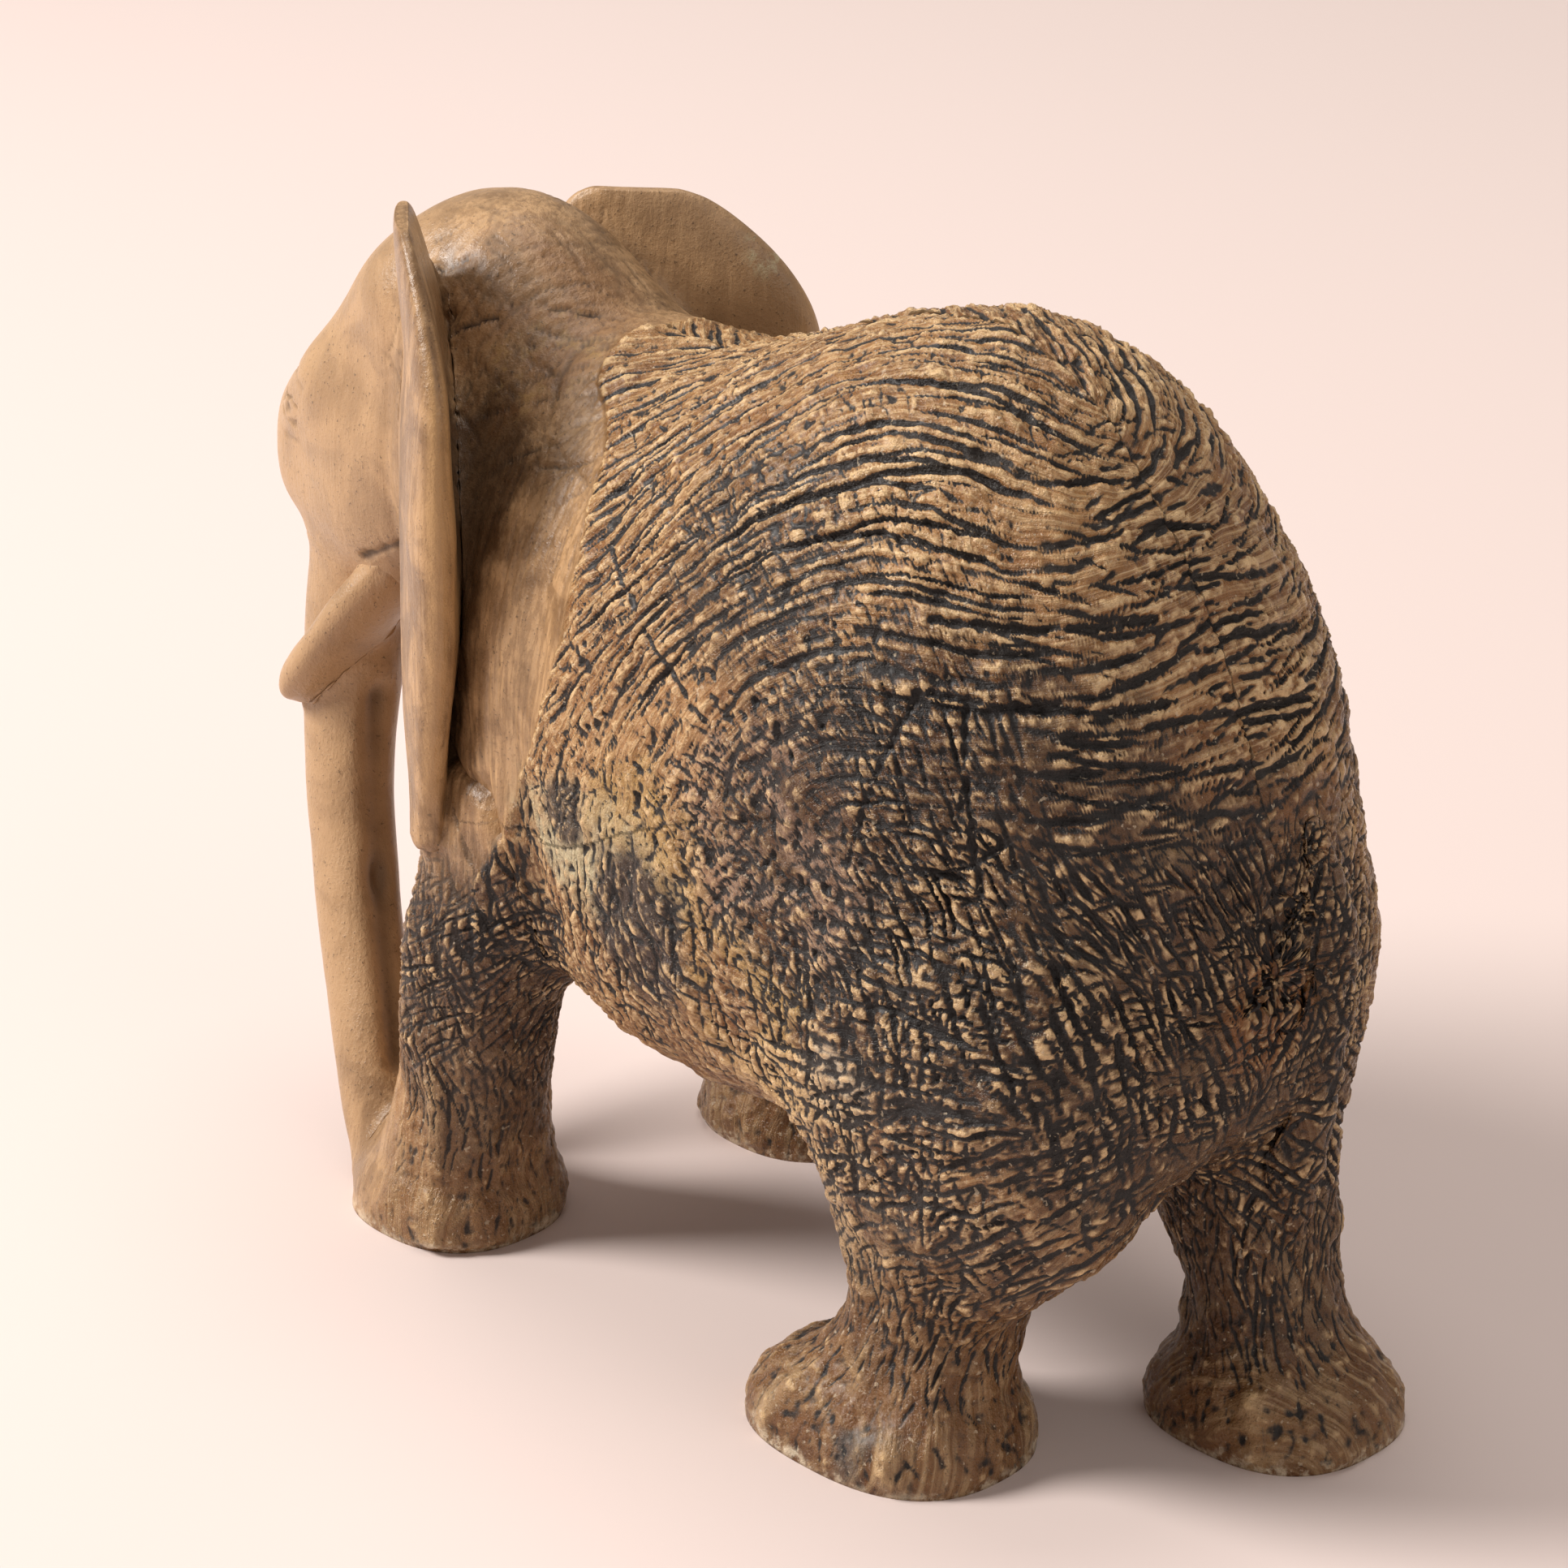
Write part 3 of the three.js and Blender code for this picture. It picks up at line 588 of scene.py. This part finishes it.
    # smoother ground along the crest and under the belly
    calm = 1 - 0.55 * smoothStep(104, 109, z) * smoothStep(30, 12, y)
    calm *= 1 - 0.75 * smoothStep(0.6, 0.85, -n[:, 2])
    calm *= 1 - 0.7 * smoothStep(96, 102, z) * smoothStep(4, -8, y) * rough
    cut *= calm
    flat = p * np.array([0, 1, 1])
    for which, y0, z0, y1, z1, wide, depth in drawn:
        far = np.sqrt(toSegment(flat, (0, y0, z0), (0, y1, z1))) + 2 * frayed
        shows = np.abs(n[:, 0]) > 0.15
        if which != 0:
            shows = shows & (side == (1 if which == 1 else 0))
        cut = np.maximum(cut, depth * np.clip(1.15 - np.abs(far) / wide, 0, 1) * shows)
    sunk = np.zeros(len(p))
    for start, end, radius, depth in hollows:
        sunk += depth * np.exp(-toSegment(p, start, end) / radius**2)
    flow = np.stack([turn / 5.5, (reach + 400 * side) / 0.95, np.zeros_like(turn)], -1)
    fineFlow = flow * np.array([2.4, 2.2, 1])
    ridges = rough * (1 - behind) * smoothStep(30, 40, z)
    ridges = ridges * (lumps(flow, 1, 13) + 0.6 * lumps(fineFlow, 1, 14))
    grain = rough * (0.36 * lumps(p, 3.4, 7) + 0.22 * lumps(p, 1.5, 8) + 0.15 * lumps(p, 0.7, 9))
    grain = grain + 0.16 * ridges
    grain += (1 - rough) * (0.18 * lumps(p, 7, 10) + 0.02 * lumps(p, 1.6, 12))
    grain += rough * smoothStep(50, 30, z) * 0.45 * lumps(p, 7.5, 15)
    step = 0.45 * rough * smoothStep(7, 0, y - edgeAt)  # the rough ground stands a little proud at its edge
    # painted highlight along the ear rim where it faces the camera
    earRimHighlight = smoothStep(0.72, 0.95, 0.641 * np.abs(n[:, 0]) + 0.767 * n[:, 1])
    earRimHighlight = earRimHighlight * smoothStep(24, 27, np.abs(x - 0.5)) * smoothStep(-11, -14, y) * smoothStep(50, 56, z)
    marks = {
        "groove": np.clip(cut / 0.6, 0, 1.2),
        "polish": 1 - rough,
        "along": turn,
        "across": reach + 400 * side,
        "sunk": np.clip(sunk / 1.2, -1, 1),
        "rim": earRimHighlight,
    }
    return grain + step + 0.12 * rough - cut - sunk, marks


# Relief of a grid of heights: each height less the mean of its neighbourhood.
def relief(height, reach=4):
    soft = height.copy()
    for _ in range(reach):
        soft = (soft + np.roll(soft, 1, 1) + np.roll(soft, -1, 1)) / 3
        soft[1:-1] = (soft[1:-1] + soft[:-2] + soft[2:]) / 3
    return height - soft


# Skin of one form: plain, settled on its neighbours, swollen, made fine, then carved.
def build(name, form, span=(0.0, 1.0)):
    grid, spine = plainGrid(forms[form], span)
    grid = settle(form, grid)
    grid = addSwells(grid, swells)
    if forms[form]["ends"] == "flat":
        grid[..., 2] = np.maximum(grid[..., 2], 0)
    grid = finer(grid, look["coarse"])
    normal = gridNormals(grid)
    rows, cols = grid.shape[:2]
    height, marks = carve(grid.reshape(-1, 3), normal.reshape(-1, 3))
    height = height.reshape(rows, cols)
    marks = {mark: values.reshape(rows, cols) for mark, values in marks.items()}
    marks["relief"] = relief(height)
    # wide relief, which the material turns into painted shade in hollows and painted highlight on facets
    marks["broad"] = relief(height, 14)
    lift = height.copy()
    # a cut end of torso dives 1.2 mm, and so under the next length
    place = np.linspace(0, spine, rows)
    if span[0] > 0:
        lift -= 1.2 * np.clip(1 - place / look["overlap"], 0, 1)[:, None] ** 2
    if span[1] < 1:
        lift -= 1.2 * np.clip(1 - (spine - place) / look["overlap"], 0, 1)[:, None] ** 2
    if forms[form]["ends"] == "flat":
        lift *= smoothStep(0, 1.2, grid[..., 2])
    grid = grid + normal * lift[..., None]
    grid[..., 2] = np.maximum(grid[..., 2], 0)
    if forms[form]["ends"] == "round":
        for end, inner in ((0, 1), (-1, -2)):
            if (end == 0 and span[0] == 0) or (end == -1 and span[1] == 1):
                grid[end] = grid[inner].mean(0)
    return skin(name, *closed(grid, marks, forms[form], span))


# Closes open ends with rings that shrink to their middle.
def closed(grid, marks, form, span):
    scales = np.array([0.0, 0.5, 0.88, 0.97])
    flat = form["ends"] == "flat"
    for end, isOpen in ((0, flat or span[0] > 0), (-1, flat or span[1] < 1)):
        if not isOpen:
            continue
        middle = grid[end].mean(0)
        rings = middle + scales[:, None, None] * (grid[end] - middle)
        grid = np.concatenate([rings, grid] if end == 0 else [grid, rings[::-1]], axis=0)
        for mark, values in marks.items():
            more = np.repeat(values[[end]], len(scales), axis=0)
            marks[mark] = np.concatenate([more, values] if end == 0 else [values, more], axis=0)
    return grid, marks


# A socket that can be added, multiplied and compared like a number; each sign adds one Math node.
class Wire:
    def __init__(self, tree, socket):
        self.tree = tree
        self.socket = socket

    # Adds a node: its type, its settings, then values or wires for its sockets by name or place.
    def node(self, kind, settings=None, inputs=None, out=0):
        node = self.tree.nodes.new(kind)
        for key, value in (settings or {}).items():
            setattr(node, key, value)
        for key, value in (inputs or {}).items():
            if isinstance(value, Wire):
                self.tree.links.new(value.socket, node.inputs[key])
            else:
                node.inputs[key].default_value = value
        return Wire(self.tree, node.outputs[out] if len(node.outputs) else None)

    def math(self, operation, *values):
        return self.node("ShaderNodeMath", {"operation": operation}, dict(enumerate(values)))

    def __add__(self, other):
        return self.math("ADD", self, other)

    __radd__ = __add__

    def __mul__(self, other):
        return self.math("MULTIPLY", self, other)

    __rmul__ = __mul__

    def __sub__(self, other):
        return self.math("SUBTRACT", self, other)

    def __rsub__(self, other):
        return self.math("SUBTRACT", other, self)

    # 0 below low, 1 above high and eased between
    def between(self, low, high):
        return self.node("ShaderNodeMapRange", {"interpolation_type": "SMOOTHSTEP"},
                         {"Value": self, "From Min": low, "From Max": high})

    def atLeast(self, other):
        return self.math("MAXIMUM", self, other)

    # Colours a and b mixed, this wire saying how much of b
    def colours(self, a, b):
        wide = [v if isinstance(v, Wire) else (*v, 1) for v in (a, b)]
        return self.node("ShaderNodeMix", {"data_type": "RGBA", "clamp_factor": True},
                         {0: self, 6: wide[0], 7: wide[1]}, out=2)


# Colours of the stone as light coming off it, red, green and blue from 0 to 1.
stone = {
    "tan": (0.35, 0.175, 0.062),
    "brown": (0.165, 0.066, 0.018),
    "deep": (0.046, 0.0180, 0.0055),
    "dark": (0.0075, 0.0062, 0.0062),
    "ridge": (0.70, 0.475, 0.245),
    "polishLight": (0.47, 0.285, 0.140),
    "polishDark": (0.215, 0.120, 0.055),
    "face": (0.445, 0.282, 0.152),
    "rim": (0.48, 0.285, 0.125),
    "ochre": (0.42, 0.26, 0.085),
    "vein": (0.52, 0.45, 0.28),
    "cream": (0.62, 0.50, 0.35),
    "rind": (0.030, 0.016, 0.013),
    "orange": (0.33, 0.125, 0.035),
    "russet": (0.22, 0.088, 0.024),
    "pink": (0.36, 0.225, 0.15),
    "slate": (0.075, 0.075, 0.072),
}


# Waxed carved stone: colour from cut depth, relief and patches; roughness and bump from the same.
def stoneMaterial(name):
    material = bpy.data.materials.new(name)
    material.use_nodes = True
    tree = material.node_tree
    tree.nodes.clear()
    start = Wire(tree, None)
    place = start.node("ShaderNodeTexCoord", out=3)
    xyz = tree.nodes.new("ShaderNodeSeparateXYZ")
    tree.links.new(place.socket, xyz.inputs[0])
    x, y, z = [Wire(tree, xyz.outputs[k]) * 1000 for k in range(3)]

    def attribute(mark):
        return start.node("ShaderNodeAttribute", {"attribute_name": mark}, out=2)

    # noise with grains this many mm wide
    def noise(size, detail, rough, at=None, twist=0.0):
        return start.node("ShaderNodeTexNoise", {}, {
            "Vector": at or place, "Scale": 1000 / size, "Detail": detail, "Roughness": rough, "Distortion": twist})

    # soft patch round a place, its edge broken up by noise
    def patch(px, py, pz, radius, ragged, tall=1.0):
        gap = start.node("ShaderNodeCombineXYZ", {}, {0: x - px, 1: y - py, 2: (z - pz) * (1 / tall)})
        far = start.node("ShaderNodeVectorMath", {"operation": "LENGTH"}, {0: gap}, out=1)
        return (far + ragged * (0.9 * radius)).between(radius * 1.15, radius * 0.75)

    groove = attribute("groove")
    raised = attribute("relief")
    polish = attribute("polish")
    # places stretched along the cuts, and up the neck
    flow = start.node("ShaderNodeCombineXYZ", {}, {0: attribute("along") * 0.00035, 1: attribute("across") * 0.0022})
    upright = start.node("ShaderNodeCombineXYZ", {}, {0: x * 0.0013, 1: y * 0.0013, 2: z * 0.00009})

    big = noise(26, 3, 0.55)
    middle = noise(7, 5, 0.6, twist=0.6)
    fine = noise(1.6, 5, 0.65)
    tiny = noise(0.45, 3, 0.7)
    streak = noise(1.0, 3, 0.6, at=flow)
    striation = noise(1.0, 4, 0.6, at=upright)
    ragged = noise(4.5, 5, 0.65) - 0.5

    # ground colour of the carved body, darker in patches that are partly gathered wax and partly painted shade on
    # the rear and far faces turned from the key lamp
    stainAndShade = (patch(26, 48, 66, 27, ragged) * 0.85).atLeast(patch(20, 44, 26, 20, ragged) * 0.6)
    stainAndShade = stainAndShade.atLeast(patch(6, 60, 50, 26, ragged) * 0.8).atLeast(patch(-12, 56, 24, 20, ragged) * 0.75)
    stainAndShade = stainAndShade.atLeast(patch(24, -19, 30, 15, ragged, 1.6) * 0.75)
    stainAndShade = stainAndShade.atLeast(patch(-22, -19, 26, 20, ragged) * 0.7)
    stainAndShade = stainAndShade.atLeast(patch(24, 24, 92, 13, ragged) * 0.5).atLeast(patch(-24, 40, 66, 24, ragged) * 0.7)
    # painted shade under the belly; the next line makes the legs darker towards the bottom
    stainAndShade = stainAndShade.atLeast(z.between(34, 26) * patch(4, 20, 28, 30, ragged) * 0.8)
    stainAndShade = stainAndShade.atLeast(z.between(15, 9) * (0.2 + middle * 0.4))
    body = (big * 0.5 + middle * 0.5).between(0.38, 0.60).colours(stone["brown"], stone["tan"])
    body = (streak.between(0.42, 0.66) * 0.6).colours(body, stone["ridge"])
    body = ((noise(5, 3, 0.5) + stainAndShade * 0.12).between(0.52, 0.70) * 0.6).colours(body, stone["russet"])
    body = (stainAndShade * 0.94).colours(body, stone["deep"])
    # polished head and neck, lighter on the face, with painted shadow in the hollow behind the ear
    smooth = (big * 0.35 + middle * 0.65).between(0.40, 0.58).colours(stone["polishDark"], stone["polishLight"])
    smooth = (striation.between(0.47, 0.56) * y.between(-52, -40) * 0.5).colours(smooth, stone["polishDark"])
    smooth = (striation.between(0.45, 0.37) * y.between(-52, -40) * 0.45).colours(smooth, stone["face"])
    pale = y.between(-34, -50) * 0.75
    smooth = (pale * (0.55 + middle * 0.6)).colours(smooth, stone["face"])
    # painted shadow behind the ear
    paintedEarShadow = patch(21, -24, 80, 8, ragged, 3.2) * x.between(31, 25) * 0.8
    smooth = paintedEarShadow.colours(smooth, stone["deep"])
    cloudy = middle.between(0.42, 0.56)
    smooth = (patch(9, -27, 100, 12, ragged) * cloudy * 0.55).colours(smooth, stone["brown"])
    smooth = (patch(12, -22, 98, 7, ragged) * fine.between(0.52, 0.66) * 0.35).colours(smooth, stone["ochre"])
    smooth = (patch(-22, -32, 99, 15, ragged) * 0.5).colours(smooth, stone["face"])
    colour = polish.colours(body, smooth)

    # mineral patches, and one patch of painted light on the near thigh
    rough = 1 - polish
    blotch = middle.between(0.40, 0.56)
    colour = (patch(31, 30, 66, 13, ragged) * rough * blotch * 0.6).colours(colour, stone["pink"])
    colour = (patch(30, 12, 60, 10, ragged) * blotch * 0.7).colours(colour, stone["ochre"])
    colour = (patch(29, 4, 57, 15, ragged, 0.5) * (1 - blotch * 0.6) * 0.8).colours(colour, stone["vein"])
    colour = (patch(28, 27, 47, 11, ragged) * blotch * 0.75).colours(colour, stone["ochre"])
    colour = (patch(30, 11, 51, 7.8, ragged, 1.25) * 0.95).colours(colour, stone["rind"])
    colour = (patch(29, -1, 60, 3.8, ragged) * 0.9).colours(colour, stone["rind"])
    colour = (patch(28, 38, 45, 5.5, ragged) * blotch * 0.8).colours(colour, stone["cream"])
    # painted light on the front of the near thigh, the side facing the key lamp
    colour = (patch(26, 30, 33, 12, ragged, 1.3) * blotch * rough * 0.5).colours(colour, stone["ridge"])
    colour = (patch(1, 68, 52, 7, ragged) * 0.6).colours(colour, stone["orange"])
    chip = patch(27, 41, 3, 4.6, ragged) * middle.between(0.42, 0.58)
    colour = (chip * 0.6).colours(colour, stone["slate"])
    vein = patch(-22, -24, 101, 3.4, ragged) * fine.between(0.46, 0.58)
    colour = (vein * 0.7).colours(colour, stone["vein"])
    colour = (patch(-30, 20, 56, 9, ragged) * blotch * 0.6).colours(colour, stone["ochre"])
    colour = (patch(-29, 14, 50, 5, ragged) * 0.8).colours(colour, stone["rind"])

    # lighter ridges, partly worn stone and partly painted highlight, and dark cuts and hollows, partly wax and
    # partly painted shade
    facet = raised * 0.7 + attribute("broad") * 0.6
    # ridges lightened, partly worn stone and partly painted highlight
    wearAndHighlight = facet.between(0.07, 0.28) * rough * fine.between(0.30, 0.62) * (1 - stainAndShade * 0.35)
    colour = wearAndHighlight.colours(colour, stone["ridge"])
    # painted shade in the low places of the relief, stronger in broad hollows
    paintedHollowShade = 0 - (raised * 1.8 + attribute("broad") * 1.0)
    waxAndShade = groove * 0.85 + paintedHollowShade + (middle - 0.5) * 0.9 + (fine - 0.5) * 0.9 + stainAndShade * 0.32
    waxAndShade = waxAndShade.between(0.20, 0.64)
    waxAndShade = (waxAndShade * (0.25 + rough * 0.75)).atLeast(groove * (1 - rough) * 1.1)
    sunk = attribute("sunk")
    # painted shade in the broad hollows behind the ear, between the haunches, in the flank folds and down the trunk
    waxAndShade = waxAndShade.atLeast(sunk.between(0.25, 1.1) * 0.55)
    colour = (sunk.between(-0.15, -0.6) * 0.22).colours(colour, stone["ridge"])
    # dark wax in the cuts together with painted shade in the hollows
    colour = (waxAndShade * 0.97).colours(colour, stone["dark"])
    # painted glints on the ridge tips in the darkened areas
    paintedGlints = facet.between(0.15, 0.33) * rough * stainAndShade * fine.between(0.44, 0.58) * 0.95
    colour = paintedGlints.colours(colour, stone["ridge"])
    speck = tiny.between(0.60, 0.70) * 0.6
    colour = speck.colours(colour, stone["dark"])
    fleck = noise(0.7, 2, 0.5).between(0.66, 0.72) * 0.5 * rough
    colour = fleck.colours(colour, stone["cream"])
    foot = (z + ragged * 6).between(1.6, 0.2) * fine.between(0.42, 0.58) * 0.8
    colour = foot.colours(colour, stone["cream"])
    # painted highlight on the ear rim
    colour = (attribute("rim") * (0.35 + middle * 0.8)).colours(colour, stone["rim"])

    shine = 0.22 + polish * 0.14 + waxAndShade * 0.30 + (fine - 0.5) * 0.4 + (middle - 0.5) * 0.3
    bumpHeight = tiny * (0.25 + rough * 0.5) + fine * rough * 0.7
    bumpHeight = bumpHeight + streak * rough * 0.9 + striation * polish * 0.25
    bump = start.node("ShaderNodeBump", {}, {"Strength": 1.0, "Distance": 0.00042, "Height": bumpHeight})
    shader = start.node("ShaderNodeBsdfPrincipled", {}, {
        "Base Color": colour, "Roughness": shine, "Normal": bump,
        "Specular IOR Level": 0.4, "Coat Weight": 0.12, "Coat Roughness": 0.3})
    start.node("ShaderNodeOutputMaterial", {}, {"Surface": shader})
    return material


print("stone materials")
carvedStone = stoneMaterial("carved stone, waxed")
polishedStone = stoneMaterial("polished stone, waxed")

# The torso is five skins long, so that each stays fine enough to be carved.
pieces = {
    "torso_shoulders": ("torso", (0.0, 0.20)), "torso_ribs": ("torso", (0.16, 0.38)),
    "torso_barrel": ("torso", (0.34, 0.58)), "torso_hips": ("torso", (0.54, 0.78)),
    "torso_rump": ("torso", (0.74, 1.0)),
}
for name in forms:
    if name != "torso":
        pieces[name] = (name, (0.0, 1.0))
slots = {name: "carved_stone" for name in pieces}
for name in ("neck", "head", "trunk", "left_tusk", "right_tusk", "left_ear", "right_ear"):
    slots[name] = "polished_stone"
for name, (form, span) in pieces.items():
    print("carving", name)
    piece = build(name + "_skin", form, span)
    print("  ", sum(len(face.vertices) - 2 for face in piece.data.polygons), "triangles")
    piece.data.materials.append(polishedStone if slots[name] == "polished_stone" else carvedStone)
    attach(piece, "root")
    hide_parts(form)

print("floor, lights and camera")
studio = {
    "floor": 4.0, "floorColour": (0.752, 0.632, 0.594),  # metres across
    "sky": (0.95, 0.86, 0.80, 1), "skyStrength": 0.31, "lampColour": (1.0, 0.965, 0.93),
    "look": (1.417, 1.42, 55.0), "distance": 560,  # mm
    "azimuth": 136, "elevation": 24, "lens": 125,
}
# Lamps: metres to the right of the figure, toward the camera and up, size of the disk and watts.
lamps = {
    "key": (-0.95, 0.0, 0.75, 0.45, 19.0),
    "fill": (0.7, 0.7, 0.5, 0.9, 2.2),
    "top": (0.0, -0.3, 1.2, 0.8, 6.0),
}


# Puts a lamp or camera in its place, looking at the target.
def aim(thing, place, target):
    thing.location = place
    thing.rotation_euler = (Vector(target) - Vector(place)).to_track_quat("-Z", "Y").to_euler()


floorMesh = bpy.data.meshes.new("floor")
half = studio["floor"] / 2
floorCorners = [(-half, -half, 0), (half, -half, 0), (half, half, 0), (-half, half, 0)]
floorMesh.from_pydata(floorCorners, [], [(0, 1, 2, 3)])
floor = bpy.data.objects.new("floor", floorMesh)
bpy.context.scene.collection.objects.link(floor)
floorMaterial = bpy.data.materials.new("pale cloth")
floorMaterial.use_nodes = True
cloth = Wire(floorMaterial.node_tree, None)
shade = cloth.node("ShaderNodeTexNoise", {}, {"Scale": 6.0, "Detail": 3.0})
tint = shade.colours([0.97 * c for c in studio["floorColour"]], studio["floorColour"])
floorShader = floorMaterial.node_tree.nodes["Principled BSDF"]
floorMaterial.node_tree.links.new(tint.socket, floorShader.inputs["Base Color"])
floorShader.inputs["Roughness"].default_value = 0.9
floorMesh.materials.append(floorMaterial)

bpy.context.scene.view_settings.view_transform = "Standard"
world = bpy.context.scene.world or bpy.data.worlds.new("studio")
bpy.context.scene.world = world
world.use_nodes = True
world.node_tree.nodes["Background"].inputs[0].default_value = studio["sky"]
world.node_tree.nodes["Background"].inputs[1].default_value = studio["skyStrength"]

target = Vector(studio["look"]) * mm
a, e = math.radians(studio["azimuth"]), math.radians(studio["elevation"])
back = Vector((math.sin(a) * math.cos(e), -math.cos(a) * math.cos(e), math.sin(e)))
right = Vector((math.cos(a), math.sin(a), 0))
flatBack = Vector((back.x, back.y, 0)).normalized()
for name, (toRight, toBack, up, size, power) in lamps.items():
    lamp = bpy.data.lights.new(name, "AREA")
    lamp.shape, lamp.size, lamp.energy = "DISK", size, power
    lamp.color = studio["lampColour"]
    light = bpy.data.objects.new(name, lamp)
    bpy.context.scene.collection.objects.link(light)
    aim(light, target + right * toRight + flatBack * toBack + Vector((0, 0, up)), target)

camera = bpy.data.objects.new("camera", bpy.data.cameras.new("camera"))
camera.data.lens = studio["lens"]
camera.data.sensor_width = 36
camera.data.clip_start = 0.01
bpy.context.scene.collection.objects.link(camera)
aim(camera, target + back * studio["distance"] * mm, target)
bpy.context.scene.camera = camera
